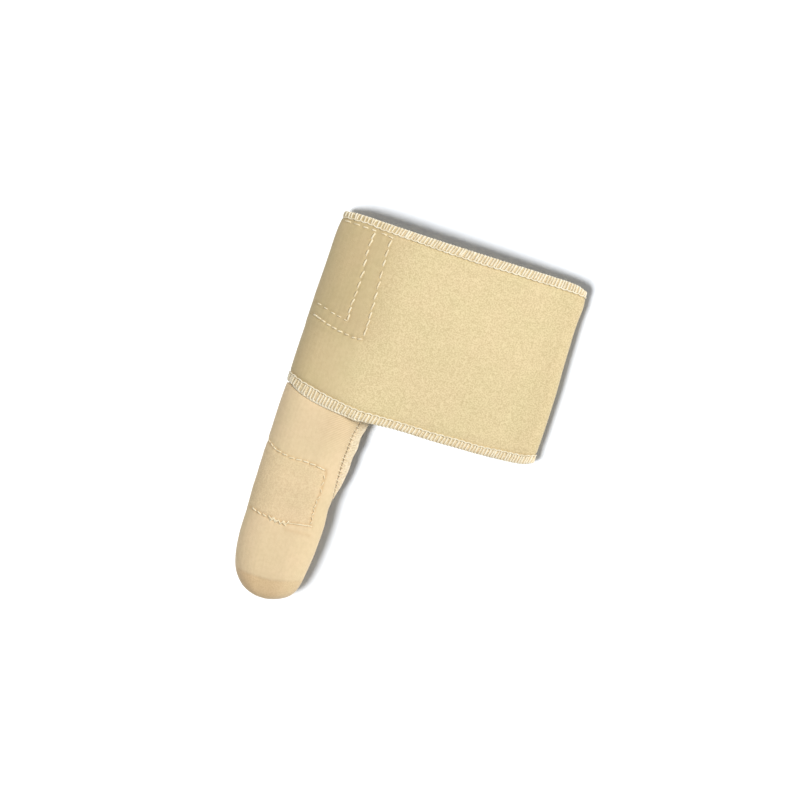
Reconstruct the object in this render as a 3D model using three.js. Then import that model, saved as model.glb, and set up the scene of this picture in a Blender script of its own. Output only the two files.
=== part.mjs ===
// A bunion corrector of soft cloth, lying flat: a wide band goes round the forefoot, and a closed
// sleeve takes the big toe. X runs from the big toe's side to the little toe's side, Y to the heel,
// Z up. Lengths are in millimetres.
import * as THREE from "three";
import { mergeVertices } from "three/addons/utils/BufferGeometryUtils.js";

// The band: a loop of cloth pressed flat, with a fold at each side
const bandWidth = 106.5; // fold to fold
const bandLength = 80; // from the heel-side rim to the toe-side rim
const bandHeight = 14; // over both layers, where the band stands highest
const bandWall = 1.4;
const bandInnerFold = 8; // how far in from the big toe's side the two layers close up
const bandOuterFold = 4; // the same at the little toe's side
const bandSpread = 1.2; // how much wider the band is at its toe-side rim

// The overlocked rims: thread wrapped round the squeezed edge of the cloth
const threadWidth = 4.1;
const threadThickness = 2.1;
const threadWall = 0.4;
const edgeWall = 0.7; // the cloth's thickness where the thread squeezes it
const clearance = 0.3; // between pieces that touch in the real thing
const wallRun = 1.6; // how soon past the thread the cloth has its full thickness again

// The toe sleeve: a tube with a domed tip
const sleeveWidth = 33;
const sleeveLength = 82.6; // from the band's toe-side rim to the tip
const sleeveHeight = 13;
const sleeveWall = 1.3;
const sleeveFold = 11; // how far in from each side the tube is rounded
const sleeveShift = 0.3; // of the tube's big toe side from the band's fold
const neckTuck = 5; // how far the neck reaches into the band
const neckInset = 2.5; // how much narrower the neck is at the fold, below and above
const shoulder = 3; // how soon past the rim the sleeve has its full size
const domeLength = 24.3;
const domePower = 2.4; // how long the dome keeps the sleeve's width
const domeRoot = 2.2; // how blunt its end is
const creaseDepth = 0.9; // of the soft dent across the tip
const creaseWidth = 2.2;

// The overlocked seam on the side of the sleeve next to the second toe
const seamLength = 31; // from the band's rim
const seamTuck = 3; // how far it reaches into the band
const seamWidth = 4.6; // at the band
const seamThickness = 2;
const seamRise = 5.4; // of its middle above the surface it lies on

// The stitched patches inside the band and the sleeve
const patchWall = 1;
const bandPatchLength = 43;
const bandPatchReach = 26; // from the fold
const bandPatchStart = 7.5; // from the heel-side rim
const toePatchLength = 28.5;
const toePatchReach = 28.5;
const toePatchStart = 19.5; // from the band's toe-side rim

// How finely the surfaces are divided
const bandSides = 44;
const bandSteps = 7;
const sleeveSides = 30;
const patchSteps = 6;

const clothColour = 0xe2d0a2;
const sleeveColour = 0xe6cda5;
const threadColour = 0xf6ebcb;
const clothRoughness = 0.95;

// The rims of the band across its width. The edges are shares of the band's length from the heel-side
// rim, and the threads are shares of the thread's width.
const rims = [
  { across: 0.0, heelEdge: 0.01, heelThread: 0.6, toeEdge: 0.905, toeThread: 0.93 },
  { across: 0.1, heelEdge: 0.0, heelThread: 0.75, toeEdge: 0.967, toeThread: 1.3 },
  { across: 0.2, heelEdge: 0.0, heelThread: 0.9, toeEdge: 0.987, toeThread: 1.2 },
  { across: 0.3, heelEdge: 0.002, heelThread: 1.05, toeEdge: 0.998, toeThread: 1.0 },
  { across: 0.45, heelEdge: 0.003, heelThread: 1.0, toeEdge: 0.988, toeThread: 0.9 },
  { across: 0.7, heelEdge: 0.0, heelThread: 0.95, toeEdge: 0.976, toeThread: 0.95 },
  { across: 0.86, heelEdge: -0.007, heelThread: 0.95, toeEdge: 0.963, toeThread: 1.0 },
  { across: 0.94, heelEdge: -0.003, heelThread: 0.85, toeEdge: 0.946, toeThread: 1.0 },
  { across: 1.0, heelEdge: 0.01, heelThread: 0.6, toeEdge: 0.915, toeThread: 0.9 },
];

// How high the band stands across its width, as shares of its height, at three places along it
const bandProfile = [
  { across: 0.0, heelRim: 0.62, middle: 0.74, toeRim: 0.94 },
  { across: 0.12, heelRim: 0.74, middle: 0.93, toeRim: 1.0 },
  { across: 0.28, heelRim: 0.76, middle: 1.0, toeRim: 1.0 },
  { across: 0.45, heelRim: 0.73, middle: 0.95, toeRim: 0.82 },
  { across: 0.65, heelRim: 0.67, middle: 0.82, toeRim: 0.7 },
  { across: 0.85, heelRim: 0.58, middle: 0.66, toeRim: 0.59 },
  { across: 1.0, heelRim: 0.48, middle: 0.52, toeRim: 0.5 },
];

// The sleeve from the neck to the dome: where each section lies, as a share of the sleeve's length from
// the rim, its outline on both sides, as shares of its width, and its height, as a share of its height
const sleeveSections = [
  { along: 0.0, left: 0.0, right: 1.03, height: 0.98 },
  { along: 0.06, left: -0.012, right: 0.985, height: 1.0 },
  { along: 0.15, left: -0.018, right: 0.97, height: 0.97 },
  { along: 0.27, left: -0.015, right: 0.962, height: 0.93 },
  { along: 0.37, left: -0.006, right: 0.995, height: 0.95 },
  { along: 0.43, left: 0.003, right: 1.008, height: 0.97 },
  { along: 0.48, left: 0.008, right: 0.985, height: 0.95 },
  { along: 0.56, left: 0.012, right: 1.0, height: 0.93 },
  { along: 0.68, left: 0.02, right: 0.997, height: 0.97 },
  { along: 1.0, left: 0.035, right: 0.985, height: 1.0 },
];

// Where the dome's rows lie, as shares of its length
const domeRows = [0.2, 0.38, 0.52, 0.64, 0.75, 0.85, 0.93, 0.98];

// The dent across the tip, as shares of the sleeve's width and of the dome's length
const creaseLine = [
  { across: 0.0, along: 0.3 },
  { across: 0.2, along: 0.62 },
  { across: 0.45, along: 0.68 },
  { across: 0.75, along: 0.64 },
  { across: 1.0, along: 0.56 },
];

// A smooth curve through one column of a table
function curve(table, column, key = "across") {
  const places = table.map((row) => row[key]);
  const line = new THREE.CubicInterpolant(places, table.map((row) => row[column]), 1);
  return (at) => line.evaluate(THREE.MathUtils.clamp(at, places[0], places.at(-1)))[0];
}

const smoothstep = THREE.MathUtils.smoothstep;
const lerp = THREE.MathUtils.lerp;

// How far the two layers have parted, from 0 at a fold to 1 where the fold ends
function parting(distance, fold) {
  if (distance >= fold) return 1;
  const left = 1 - distance / fold;
  return Math.sqrt(Math.max(1 - left * left, 0));
}

// A point on a flattened tube, level on its underside. The turn goes round it from the fold on the
// big toe's side, over the top, to the other fold and back underneath.
function flatTube(turn, left, right, height, innerFold, outerFold) {
  const across = (1 - Math.cos(turn)) / 2;
  const x = lerp(left, right, across);
  const open = parting(x - left, innerFold) * parting(right - x, outerFold);
  const side = Math.sin(turn) < 0 ? -1 : 1;
  const high = height(across);
  return { x, across, bulge: side * open, z: (high / 2) * (1 + side * open) };
}

const heelEdge = curve(rims, "heelEdge");
const toeEdge = curve(rims, "toeEdge");
const heelThread = curve(rims, "heelThread");
const toeThread = curve(rims, "toeThread");
const heelHeight = curve(bandProfile, "heelRim");
const middleHeight = curve(bandProfile, "middle");
const toeHeight = curve(bandProfile, "toeRim");

// How far the cloth's middle is lifted at the rims, so that the thicker thread lies level with the rest
const rimLift = (threadThickness - bandWall) / 2;
const widestThread = threadWidth * Math.max(...rims.map((row) => row.toeThread));
const liftRun = 3;

// A point in the middle of the band's wall, at a turn round it and a distance from one of its rims
function bandMiddle(turn, share) {
  const halfWall = bandWall / 2;
  const height = (across) => {
    const toMiddle = lerp(heelHeight(across), middleHeight(across), smoothstep(share, 0, 0.45));
    return bandHeight * lerp(toMiddle, toeHeight(across), smoothstep(share, 0.45, 1)) - bandWall;
  };
  const spread = bandSpread * share;
  const left = halfWall - spread / 2;
  const right = bandWidth - halfWall + spread / 2;
  const at = flatTube(turn, left, right, height, bandInnerFold, bandOuterFold);
  const start = heelEdge(at.across);
  const length = toeEdge(at.across) - start;
  const fromRim = Math.min(share, 1 - share) * length * bandLength;
  const lift = rimLift * (1 - smoothstep(fromRim, widestThread, widestThread + liftRun));
  const y = -bandLength * (start + share * length);
  return new THREE.Vector3(at.x, y, halfWall + at.z - lift * at.bulge);
}

// The point that lies a distance outside a surface, by the surface's own slope there
function offset(surface, turn, share, distance) {
  const small = 1e-3;
  const round = surface(turn + small, share).sub(surface(turn - small, share));
  const along = surface(turn, share + small).sub(surface(turn, share - small));
  const outward = along.cross(round).normalize();
  return surface(turn, share).addScaledVector(outward, distance);
}

// The turns at which a tube with so many sides is divided
function turns(sides) {
  return Array.from({ length: sides }, (_, i) => (2 * Math.PI * i) / sides);
}

// A distance from one of the band's rims as a share of the band's length at that turn
function bandShare(turn, fromHeel, fromToe) {
  const across = (1 - Math.cos(turn)) / 2;
  const length = bandLength * (toeEdge(across) - heelEdge(across));
  if (fromHeel !== null) return fromHeel(across) / length;
  return 1 - fromToe(across) / length;
}

// Numbers the points of a grid for a mesh. A row of one point is the tip of a dome.
function numberGrid(grid, columns, points) {
  return grid.map((row) => {
    const first = points.length;
    points.push(...row);
    return Array.from({ length: columns }, (_, j) => first + (row.length === 1 ? 0 : j));
  });
}

// Adds a four-sided face as two triangles, leaving out one that has closed up to a line
function addFace(faces, a, b, c, d) {
  const halves = [
    [a, b, c],
    [a, c, d],
  ];
  for (const half of halves) if (new Set(half).size === 3) faces.push(half);
}

// A closed mesh from points and triangles, turned so that its faces point out
function closedMesh(name, points, faces, colour) {
  const volume = faces.reduce(
    (sum, [a, b, c]) => sum + points[a].dot(points[b].clone().cross(points[c])),
    0,
  );
  const order = volume < 0 ? faces.map(([a, b, c]) => [a, c, b]) : faces;
  const geometry = new THREE.BufferGeometry().setFromPoints(points);
  geometry.setIndex(order.flat());
  const merged = mergeVertices(geometry);
  merged.computeVertexNormals();
  const material = new THREE.MeshStandardMaterial({
    color: colour,
    roughness: clothRoughness,
    metalness: 0,
    flatShading: true,
  });
  const mesh = new THREE.Mesh(merged, material);
  mesh.name = name;
  return mesh;
}

// A wall of cloth between an outer and an inner grid of points of the same size. A wrapped one goes
// all the way round, and another has edges at its first and last columns too.
function clothWall(name, outer, inner, wrapped, colour) {
  const points = [];
  const faces = [];
  const columns = Math.max(...outer.map((row) => row.length));
  const front = numberGrid(outer, columns, points);
  const back = numberGrid(inner, columns, points);
  const lastColumn = wrapped ? columns : columns - 1;
  for (let i = 0; i + 1 < front.length; i++) {
    for (let j = 0; j < lastColumn; j++) {
      const k = (j + 1) % columns;
      addFace(faces, front[i][j], front[i][k], front[i + 1][k], front[i + 1][j]);
      addFace(faces, back[i][k], back[i][j], back[i + 1][j], back[i + 1][k]);
    }
  }
  for (let j = 0; j < lastColumn; j++) {
    const k = (j + 1) % columns;
    const end = front.length - 1;
    addFace(faces, front[0][k], front[0][j], back[0][j], back[0][k]);
    addFace(faces, front[end][j], front[end][k], back[end][k], back[end][j]);
  }
  if (!wrapped) {
    const end = columns - 1;
    for (let i = 0; i + 1 < front.length; i++) {
      addFace(faces, front[i][0], front[i + 1][0], back[i + 1][0], back[i][0]);
      addFace(faces, front[i + 1][end], front[i][end], back[i][end], back[i + 1][end]);
    }
  }
  return closedMesh(name, points, faces, colour);
}

// A ring whose closed section, one row for each of its points, goes all the way round
function sectionRing(name, grid, colour) {
  const points = [];
  const faces = [];
  const columns = grid[0].length;
  const numbers = numberGrid(grid, columns, points);
  for (let i = 0; i < numbers.length; i++) {
    const next = numbers[(i + 1) % numbers.length];
    for (let j = 0; j < columns; j++) {
      const k = (j + 1) % columns;
      addFace(faces, numbers[i][j], numbers[i][k], next[k], next[j]);
    }
  }
  return closedMesh(name, points, faces, colour);
}

// The band, with its wall squeezed at both rims where the overlock wraps it
function forefootBand() {
  const edge = threadWall + clearance;
  const rows = [
    { fromHeel: () => edge, wall: edgeWall },
    { fromHeel: (at) => threadWidth * heelThread(at) + clearance, wall: edgeWall },
    { fromHeel: (at) => threadWidth * heelThread(at) + clearance + wallRun, wall: bandWall },
  ];
  for (let i = 1; i < bandSteps; i++) rows.push({ share: i / bandSteps, wall: bandWall });
  rows.push(
    { fromToe: (at) => threadWidth * toeThread(at) + clearance + wallRun, wall: bandWall },
    { fromToe: (at) => threadWidth * toeThread(at) + clearance, wall: edgeWall },
    { fromToe: () => edge, wall: edgeWall },
  );
  const side = (direction) =>
    rows.map((row) =>
      turns(bandSides).map((turn) => {
        const share = row.share ?? bandShare(turn, row.fromHeel ?? null, row.fromToe);
        return offset(bandMiddle, turn, share, (direction * row.wall) / 2);
      }),
    );
  return clothWall("forefoot_band", side(1), side(-1), true, clothColour);
}

// The section of the overlock, from its inner line over the rim: how far it lies from the rim, as a
// share of the thread's width there, and whether it is on the outside or in the groove
const threadSection = [
  { fromRim: 1.0, level: "groove", side: 1 },
  { fromRim: 0.96, level: "outside", side: 1 },
  { fromRim: 0.18, level: "outside", side: 1 },
  { fromRim: 0.0, level: "tip", side: 1 },
  { fromRim: 0.0, level: "tip", side: -1 },
  { fromRim: 0.18, level: "outside", side: -1 },
  { fromRim: 0.96, level: "outside", side: -1 },
  { fromRim: 1.0, level: "groove", side: -1 },
  { fromRim: null, level: "groove", side: -1 },
  { fromRim: null, level: "groove", side: 1 },
];

// The overlock round one rim, a thread wrap with a groove that holds the cloth's edge
function rimOverlock(name, atHeel) {
  const width = atHeel ? heelThread : toeThread;
  const levels = {
    groove: edgeWall / 2 + clearance,
    outside: threadThickness / 2,
    tip: threadThickness / 4,
  };
  const grid = threadSection.map((point) =>
    turns(bandSides).map((turn) => {
      const from = (at) =>
        point.fromRim === null ? threadWall : point.fromRim * threadWidth * width(at);
      const share = atHeel ? bandShare(turn, from, null) : bandShare(turn, null, from);
      return offset(bandMiddle, turn, share, point.side * levels[point.level]);
    }),
  );
  return sectionRing(name, grid, threadColour);
}

const sleeveLeft = curve(sleeveSections, "left", "along");
const sleeveRight = curve(sleeveSections, "right", "along");
const sleeveRise = curve(sleeveSections, "height", "along");
const creaseAlong = curve(creaseLine, "along");

// The y of the band's toe-side rim over a place across the sleeve
function rimOver(x) {
  return -bandLength * toeEdge(THREE.MathUtils.clamp(x / bandWidth, 0, 1));
}

const sleeveRoot = rimOver(sleeveWidth / 2);
const bowEnd = 0.3; // the share of the sleeve past which its sections no longer follow the rim's bow

// How far the section at a distance from the rim is drawn in by the dome
function domeAt(distance) {
  const share = THREE.MathUtils.clamp((distance - sleeveLength + domeLength) / domeLength, 0, 1);
  return Math.pow(1 - Math.pow(share, domePower), 1 / domeRoot);
}

// A point on the sleeve's outside, at a turn round it and a distance from the band's rim. A negative
// distance lies inside the band.
function sleeveOuter(turn, distance) {
  const share = THREE.MathUtils.clamp(distance / sleeveLength, 0, 1);
  const dome = domeAt(distance);
  const neck = neckInset * (1 - smoothstep(distance, 0, shoulder));
  const middle = sleeveShift + (sleeveWidth * (sleeveLeft(share) + sleeveRight(share))) / 2;
  const half = (sleeveWidth * (sleeveRight(share) - sleeveLeft(share))) / 2;
  const left = middle - half * dome + neck;
  const right = middle + half * dome;
  const full = sleeveHeight * sleeveRise(share);
  const high = (full - neck * 2) * Math.sqrt(dome);
  const fold = sleeveFold * dome;
  const at = flatTube(turn, left, right, () => high, fold, fold);
  const bow = (rimOver(at.x) - sleeveRoot) * (1 - smoothstep(share, 0, bowEnd));
  const under = neck + (full * (1 - Math.sqrt(dome))) / 3;
  const point = new THREE.Vector3(at.x, sleeveRoot + bow - distance, under + at.z);
  const across = (point.x - sleeveShift) / sleeveWidth;
  const creaseAt = sleeveLength - domeLength * (1 - creaseAlong(across));
  const near = Math.exp(-Math.pow((distance - creaseAt) / creaseWidth, 2));
  if (Math.sin(turn) > 0) point.z -= creaseDepth * near * Math.sin(turn) * dome;
  return point;
}

// The rows of the sleeve, from the neck's mouth to just short of the tip
function sleeveRows() {
  const body = sleeveSections.map((row) => row.along * sleeveLength);
  const straight = body.filter((at) => at > shoulder && at < sleeveLength - domeLength);
  const dome = domeRows.map((share) => sleeveLength - domeLength * (1 - share));
  return [-neckTuck, 0, shoulder / 2, shoulder, ...straight, sleeveLength - domeLength, ...dome];
}

// The sleeve, an open neck at one end and a dome at the other
function toeSleeve() {
  const side = (distance) => {
    const grid = sleeveRows().map((row) =>
      turns(sleeveSides).map((turn) => offset(sleeveOuter, turn, row, -distance)),
    );
    const tip = sleeveOuter(0, sleeveLength);
    grid.push([tip.add(new THREE.Vector3(0, distance, 0))]);
    return grid;
  };
  return clothWall("toe_sleeve", side(0), side(sleeveWall), true, sleeveColour);
}

// The seam allowance beside the sleeve, widest at the band and tapering away
const seamSections = [
  { along: 0.0, width: 0.7 },
  { along: 0.12, width: 0.9 },
  { along: 0.25, width: 1.0 },
  { along: 0.4, width: 1.04 },
  { along: 0.58, width: 0.98 },
  { along: 0.76, width: 0.66 },
  { along: 0.9, width: 0.36 },
  { along: 1.0, width: 0.16 },
];

// The seam's own section, as shares of its width and thickness: a flat strip with a rounded edge
const seamOutline = [
  { out: 0.0, up: -0.5 },
  { out: 0.82, up: -0.5 },
  { out: 1.0, up: -0.2 },
  { out: 1.0, up: 0.2 },
  { out: 0.82, up: 0.5 },
  { out: 0.0, up: 0.5 },
];

function webSeam() {
  const points = [];
  const faces = [];
  const rows = seamSections.map((section) => {
    const distance = lerp(-seamTuck, seamLength, section.along);
    const first = points.length;
    for (const corner of seamOutline) {
      const side = sleeveOuter(Math.PI, distance);
      const out = clearance * 2 + corner.out * seamWidth * section.width;
      const up = corner.up * seamThickness;
      points.push(new THREE.Vector3(side.x + out, side.y, seamRise + up));
    }
    return first;
  });
  const sides = seamOutline.length;
  for (let i = 0; i + 1 < rows.length; i++) {
    for (let j = 0; j < sides; j++) {
      const k = (j + 1) % sides;
      addFace(faces, rows[i] + j, rows[i] + k, rows[i + 1] + k, rows[i + 1] + j);
    }
  }
  const last = rows.at(-1);
  for (let j = 1; j + 1 < sides; j++) {
    faces.push([rows[0], rows[0] + j + 1, rows[0] + j]);
    faces.push([last, last + j, last + j + 1]);
  }
  return closedMesh("web_seam_overlock", points, faces, threadColour);
}

// A patch inside a tube of cloth, wrapped round the fold on the big toe's side. The surface gives a
// point at a turn, a distance along the tube and a depth inside it.
function patch(name, tube, size, surface) {
  const end = Math.acos(1 - (2 * size.reach) / tube.width);
  const inner = turns(tube.sides).filter((turn) => turn > 0 && turn < end);
  const across = [-end, ...inner.map((turn) => -turn).reverse(), 0, ...inner, end];
  const side = (depth) =>
    Array.from({ length: patchSteps + 1 }, (_, i) => {
      const distance = size.start + (size.length * i) / patchSteps;
      return across.map((turn) => surface(turn, distance, depth));
    });
  const depth = tube.wall + clearance;
  return clothWall(name, side(depth), side(depth + patchWall), false, tube.colour);
}

function bandPatch() {
  const tube = { width: bandWidth, sides: bandSides, wall: bandWall, colour: clothColour };
  const size = { start: bandPatchStart, length: bandPatchLength, reach: bandPatchReach };
  return patch("band_patch", tube, size, (turn, distance, depth) => {
    const share = bandShare(turn, () => distance, null);
    return offset(bandMiddle, turn, share, bandWall / 2 - depth);
  });
}

function toePatch() {
  const tube = { width: sleeveWidth, sides: sleeveSides, wall: sleeveWall, colour: sleeveColour };
  const size = { start: toePatchStart, length: toePatchLength, reach: toePatchReach };
  return patch("toe_patch", tube, size, (turn, distance, depth) =>
    offset(sleeveOuter, turn, distance, -depth),
  );
}

const corrector = new THREE.Group();
corrector.add(
  forefootBand(),
  toeSleeve(),
  rimOverlock("heel_side_overlock", true),
  rimOverlock("toe_side_overlock", false),
  webSeam(),
  bandPatch(),
  toePatch(),
);

// The origin is under the middle of the whole, on the surface that it lies on
const box = new THREE.Box3().setFromObject(corrector, true);
const centre = box.getCenter(new THREE.Vector3());
corrector.position.set(-centre.x, -centre.y, -box.min.z);

export default corrector;
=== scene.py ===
# A cloth bunion corrector lying flat on a pale table: a wide forefoot band with overlocked rims
# and a closed sleeve for the big toe. Shapes are worked out in millimetres, x across from the big
# toe's side, y towards the heel, z up, and set into the frame in metres.
import math
import random

import bmesh
import bpy
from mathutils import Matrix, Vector, noise


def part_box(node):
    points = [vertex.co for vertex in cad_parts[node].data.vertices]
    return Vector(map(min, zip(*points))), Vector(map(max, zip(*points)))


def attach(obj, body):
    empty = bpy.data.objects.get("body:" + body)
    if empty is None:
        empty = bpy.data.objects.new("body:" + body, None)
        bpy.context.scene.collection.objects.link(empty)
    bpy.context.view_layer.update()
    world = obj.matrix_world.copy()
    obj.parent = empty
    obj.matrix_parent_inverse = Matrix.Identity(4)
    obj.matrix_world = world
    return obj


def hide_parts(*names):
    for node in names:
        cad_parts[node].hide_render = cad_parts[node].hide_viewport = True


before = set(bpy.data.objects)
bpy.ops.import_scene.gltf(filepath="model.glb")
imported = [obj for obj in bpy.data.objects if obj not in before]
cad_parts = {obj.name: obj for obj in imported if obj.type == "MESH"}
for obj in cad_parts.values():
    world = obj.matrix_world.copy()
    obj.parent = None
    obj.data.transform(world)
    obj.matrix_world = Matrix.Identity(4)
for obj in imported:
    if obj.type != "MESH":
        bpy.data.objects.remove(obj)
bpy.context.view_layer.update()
print("frame loaded:", len(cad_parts), "nodes")

mm = 0.001
fullTurn = 2 * math.pi

band = {
    "width": 106.5,
    "length": 80.0,
    "height": 14.0,
    "wall": 1.4,
    "innerFold": 8.0,
    "outerFold": 4.0,
    "columns": 320,
    "rows": 150,
    "unevenness": 0.22,  # how far the cloth rises and falls by itself
    "unevenSize": 26.0,
    "patchRise": 0.22,  # how far the second layer inside lifts the cloth
}

sleeve = {
    "width": 33.0,
    "length": 82.6,
    "height": 13.0,
    "wall": 1.3,
    "root": 78.48,  # how far its neck lies from the heel side
    "fold": 11.0,
    "shift": 0.3,
    "neckTuck": 5.0,
    "neckOver": 1.3,  # how far the neck steps in under the rim, above it, at its sides and below
    "neckAside": 2.0,
    "neckUnder": 2.4,
    "dome": 24.3,
    "domePower": 2.4,
    "domeRoot": 2.2,
    "bowEnd": 0.3,
    "columns": 200,
    "rows": 190,
    "unevenness": 0.2,
    "unevenSize": 15.0,
    "patchRise": 0.18,
    "creaseDepth": 0.32,
    "creaseWidth": 1.6,
}

overlock = {
    "width": 4.1,
    "thickness": 2.1,
    "wrapRadius": 0.43,
    "chainRadius": 0.31,
    "purlRadius": 0.22,
    "rollRadius": 0.47,
    "arch": 0.5,  # how far the chain's arches stand out past the wraps
    "bed": 0.55,  # half the thickness of the squeezed cloth under the wraps
    "uneven": 0.16,
    "heelSlant": -0.75,  # how far a wrap leans along the rim, in pitches
    "toeSlant": 0.45,
}

# The two rims across the band. The edges are shares of its length from the heel side, and the
# threads are shares of the overlock's width.
rims = {
    "across": (0.0, 0.05, 0.1, 0.15, 0.2, 0.25, 0.3, 0.37, 0.45, 0.6, 0.7, 0.8, 0.86, 0.94, 0.97, 1.0),
    "heelEdge": (-0.003, -0.0078, -0.0075, -0.0065, -0.0056, -0.005, -0.0042, -0.004, -0.0042, -0.006,
                 -0.0078, -0.0098, -0.0106, -0.0102, -0.006, 0.006),
    "heelThread": (0.46, 0.5, 0.46, 0.57, 0.58, 0.62, 0.6, 0.67, 0.72, 0.74, 0.68, 0.7, 0.68, 0.65, 0.58, 0.45),
    "toeEdge": (0.907, 0.939, 0.96, 0.972, 0.98, 0.986, 0.991, 0.985, 0.977, 0.974, 0.969, 0.964, 0.958,
                0.948, 0.94, 0.922),
    "toeThread": (0.7, 0.8, 0.93, 0.88, 0.82, 0.76, 0.75, 0.7, 0.62, 0.61, 0.64, 0.62, 0.69, 0.69, 0.69, 0.65),
    "heelPitch": (1.42, 1.42, 1.42, 1.41, 1.4, 1.4, 1.38, 1.37, 1.36, 1.36, 1.33, 1.28, 1.25, 1.22, 1.2, 1.2),
    "toePitch": (1.42, 1.42, 1.42, 1.42, 1.42, 1.43, 1.46, 1.52, 1.56, 1.55, 1.45, 1.3, 1.2, 1.13, 1.13, 1.13),
}

# How far the band's two folds stand out from straight lines, along it
bandSides = {
    "share": (0.0, 0.05, 0.1, 0.16, 0.22, 0.35, 0.46, 0.58, 0.68, 0.8, 0.9, 1.0),
    "left": (-1.2, -0.95, -0.6, -0.4, -0.38, -0.35, -0.2, -0.12, 0.0, 0.1, 0.05, -0.1),
    "right": (-0.7, -0.2, 0.05, -0.2, -0.3, -0.2, 0.0, 0.4, 0.46, 0.5, 0.4, 0.2),
}

# The height of the band across it, at its heel-side rim, its middle and its toe-side rim
bandProfile = {
    "across": (0.0, 0.12, 0.28, 0.45, 0.65, 0.85, 1.0),
    "heelRim": (0.62, 0.74, 0.76, 0.73, 0.67, 0.58, 0.48),
    "middle": (0.74, 0.93, 1.0, 0.95, 0.82, 0.66, 0.52),
    "toeRim": (0.94, 1.0, 1.0, 0.82, 0.7, 0.59, 0.5),
}

# The sleeve's outline and height along it, from the band's rim to the tip
sleeveSections = {
    "along": (0.0, 0.06, 0.15, 0.27, 0.37, 0.43, 0.48, 0.56, 0.68, 1.0),
    "left": (0.0, -0.008, -0.01, -0.006, 0.0, 0.003, 0.003, 0.009, 0.012, 0.035),
    "right": (1.02, 0.985, 0.97, 0.966, 0.98, 0.988, 0.979, 0.994, 0.992, 0.985),
    "height": (0.98, 1.0, 0.97, 0.93, 0.95, 0.97, 0.95, 0.93, 0.97, 1.0),
}
# The outline of the rounded tip, in millimetres, where rounding is the root of the distance to its end
sleeveTip = {
    "rounding": (0.0, 0.1, 0.2, 0.3, 0.4, 0.5, 0.6, 0.7, 0.8, 0.9, 1.0),
    "left": (17.3, 14.6, 11.9, 9.35, 7.25, 5.3, 3.7, 2.55, 1.75, 1.15, 0.75),
    "right": (17.3, 20.0, 22.8, 25.6, 28.1, 29.85, 30.95, 31.65, 32.15, 32.6, 33.0),
}
creaseLine = {
    "across": (0.0, 0.14, 0.42, 0.61, 0.81, 1.0),
    "along": (0.5, 0.62, 0.654, 0.634, 0.564, 0.46),
}


# A smooth curve through one column of a table
def smoothCurve(table, column, key="across"):
    xs, ys = table[key], table[column]
    last = len(xs) - 1
    steps = [(ys[i + 1] - ys[i]) / (xs[i + 1] - xs[i]) for i in range(last)]
    slopes = [steps[0]] + [(steps[i - 1] + steps[i]) / 2 for i in range(1, last)] + [steps[-1]]

    def at(x):
        x = min(max(x, xs[0]), xs[-1])
        i = 0
        while i < last - 1 and x > xs[i + 1]:
            i += 1
        run = xs[i + 1] - xs[i]
        t = (x - xs[i]) / run
        rise = t * t * (3 - 2 * t)
        start = slopes[i] * run * t * (1 - t) ** 2
        end = slopes[i + 1] * run * t * t * (1 - t)
        return ys[i] + (ys[i + 1] - ys[i]) * rise + start - end

    return at


def blendIn(x, low, high):
    t = min(max((x - low) / (high - low), 0.0), 1.0)
    return t * t * (3 - 2 * t)


def mix(a, b, t):
    return a + (b - a) * t


def parting(distance, fold):  # 0 at a fold, 1 where the two layers are fully apart
    if distance >= fold:
        return 1.0
    left = 1 - distance / fold
    return math.sqrt(max(1 - left * left, 0.0))


heelEdge = smoothCurve(rims, "heelEdge")
toeEdge = smoothCurve(rims, "toeEdge")
heelThread = smoothCurve(rims, "heelThread")
toeThread = smoothCurve(rims, "toeThread")
foldLeft = smoothCurve(bandSides, "left", "share")
foldRight = smoothCurve(bandSides, "right", "share")
heelHeight = smoothCurve(bandProfile, "heelRim")
middleHeight = smoothCurve(bandProfile, "middle")
toeHeight = smoothCurve(bandProfile, "toeRim")
sleeveLeft = smoothCurve(sleeveSections, "left", "along")
sleeveRight = smoothCurve(sleeveSections, "right", "along")
sleeveRise = smoothCurve(sleeveSections, "height", "along")
tipLeft = smoothCurve(sleeveTip, "left", "rounding")
tipRight = smoothCurve(sleeveTip, "right", "rounding")
creaseAlong = smoothCurve(creaseLine, "along")
heelPitch = smoothCurve(rims, "heelPitch")
toePitch = smoothCurve(rims, "toePitch")

rimLift = (overlock["thickness"] - band["wall"]) / 2
widestThread = overlock["width"] * max(rims["toeThread"])
sleeveRoot = -sleeve["root"]


def flatTube(turn, left, right, height, innerFold, outerFold):
    across = (1 - math.cos(turn)) / 2
    x = mix(left, right, across)
    opened = parting(x - left, innerFold) * parting(right - x, outerFold)
    bulge = -opened if math.sin(turn) < 0 else opened
    return x, bulge, height / 2 * (1 + bulge)


# A point in the middle of the band's wall, without its small relief
def bandMiddle(turn, share):
    across = (1 - math.cos(turn)) / 2
    toMiddle = mix(heelHeight(across), middleHeight(across), blendIn(share, 0, 0.45))
    high = band["height"] * mix(toMiddle, toeHeight(across), blendIn(share, 0.45, 1)) - band["wall"]
    left = band["wall"] / 2 - foldLeft(share)
    right = band["width"] - band["wall"] / 2 + foldRight(share)
    x, bulge, z = flatTube(turn, left, right, high, band["innerFold"], band["outerFold"])
    start = heelEdge(across)
    length = toeEdge(across) - start
    fromRim = min(share, 1 - share) * length * band["length"]
    lift = rimLift * (1 - blendIn(fromRim, widestThread, widestThread + 3))
    y = -band["length"] * (start + share * length)
    return Vector((x, y, band["wall"] / 2 + z - lift * bulge))


# A distance from a rim, in millimetres, as a share of the band's length at that turn
def bandShare(turn, fromHeel=None, fromToe=None):
    across = (1 - math.cos(turn)) / 2
    length = band["length"] * (toeEdge(across) - heelEdge(across))
    return fromHeel / length if fromToe is None else 1 - fromToe / length


def rimOver(x):
    return -band["length"] * toeEdge(x / band["width"])


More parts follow.
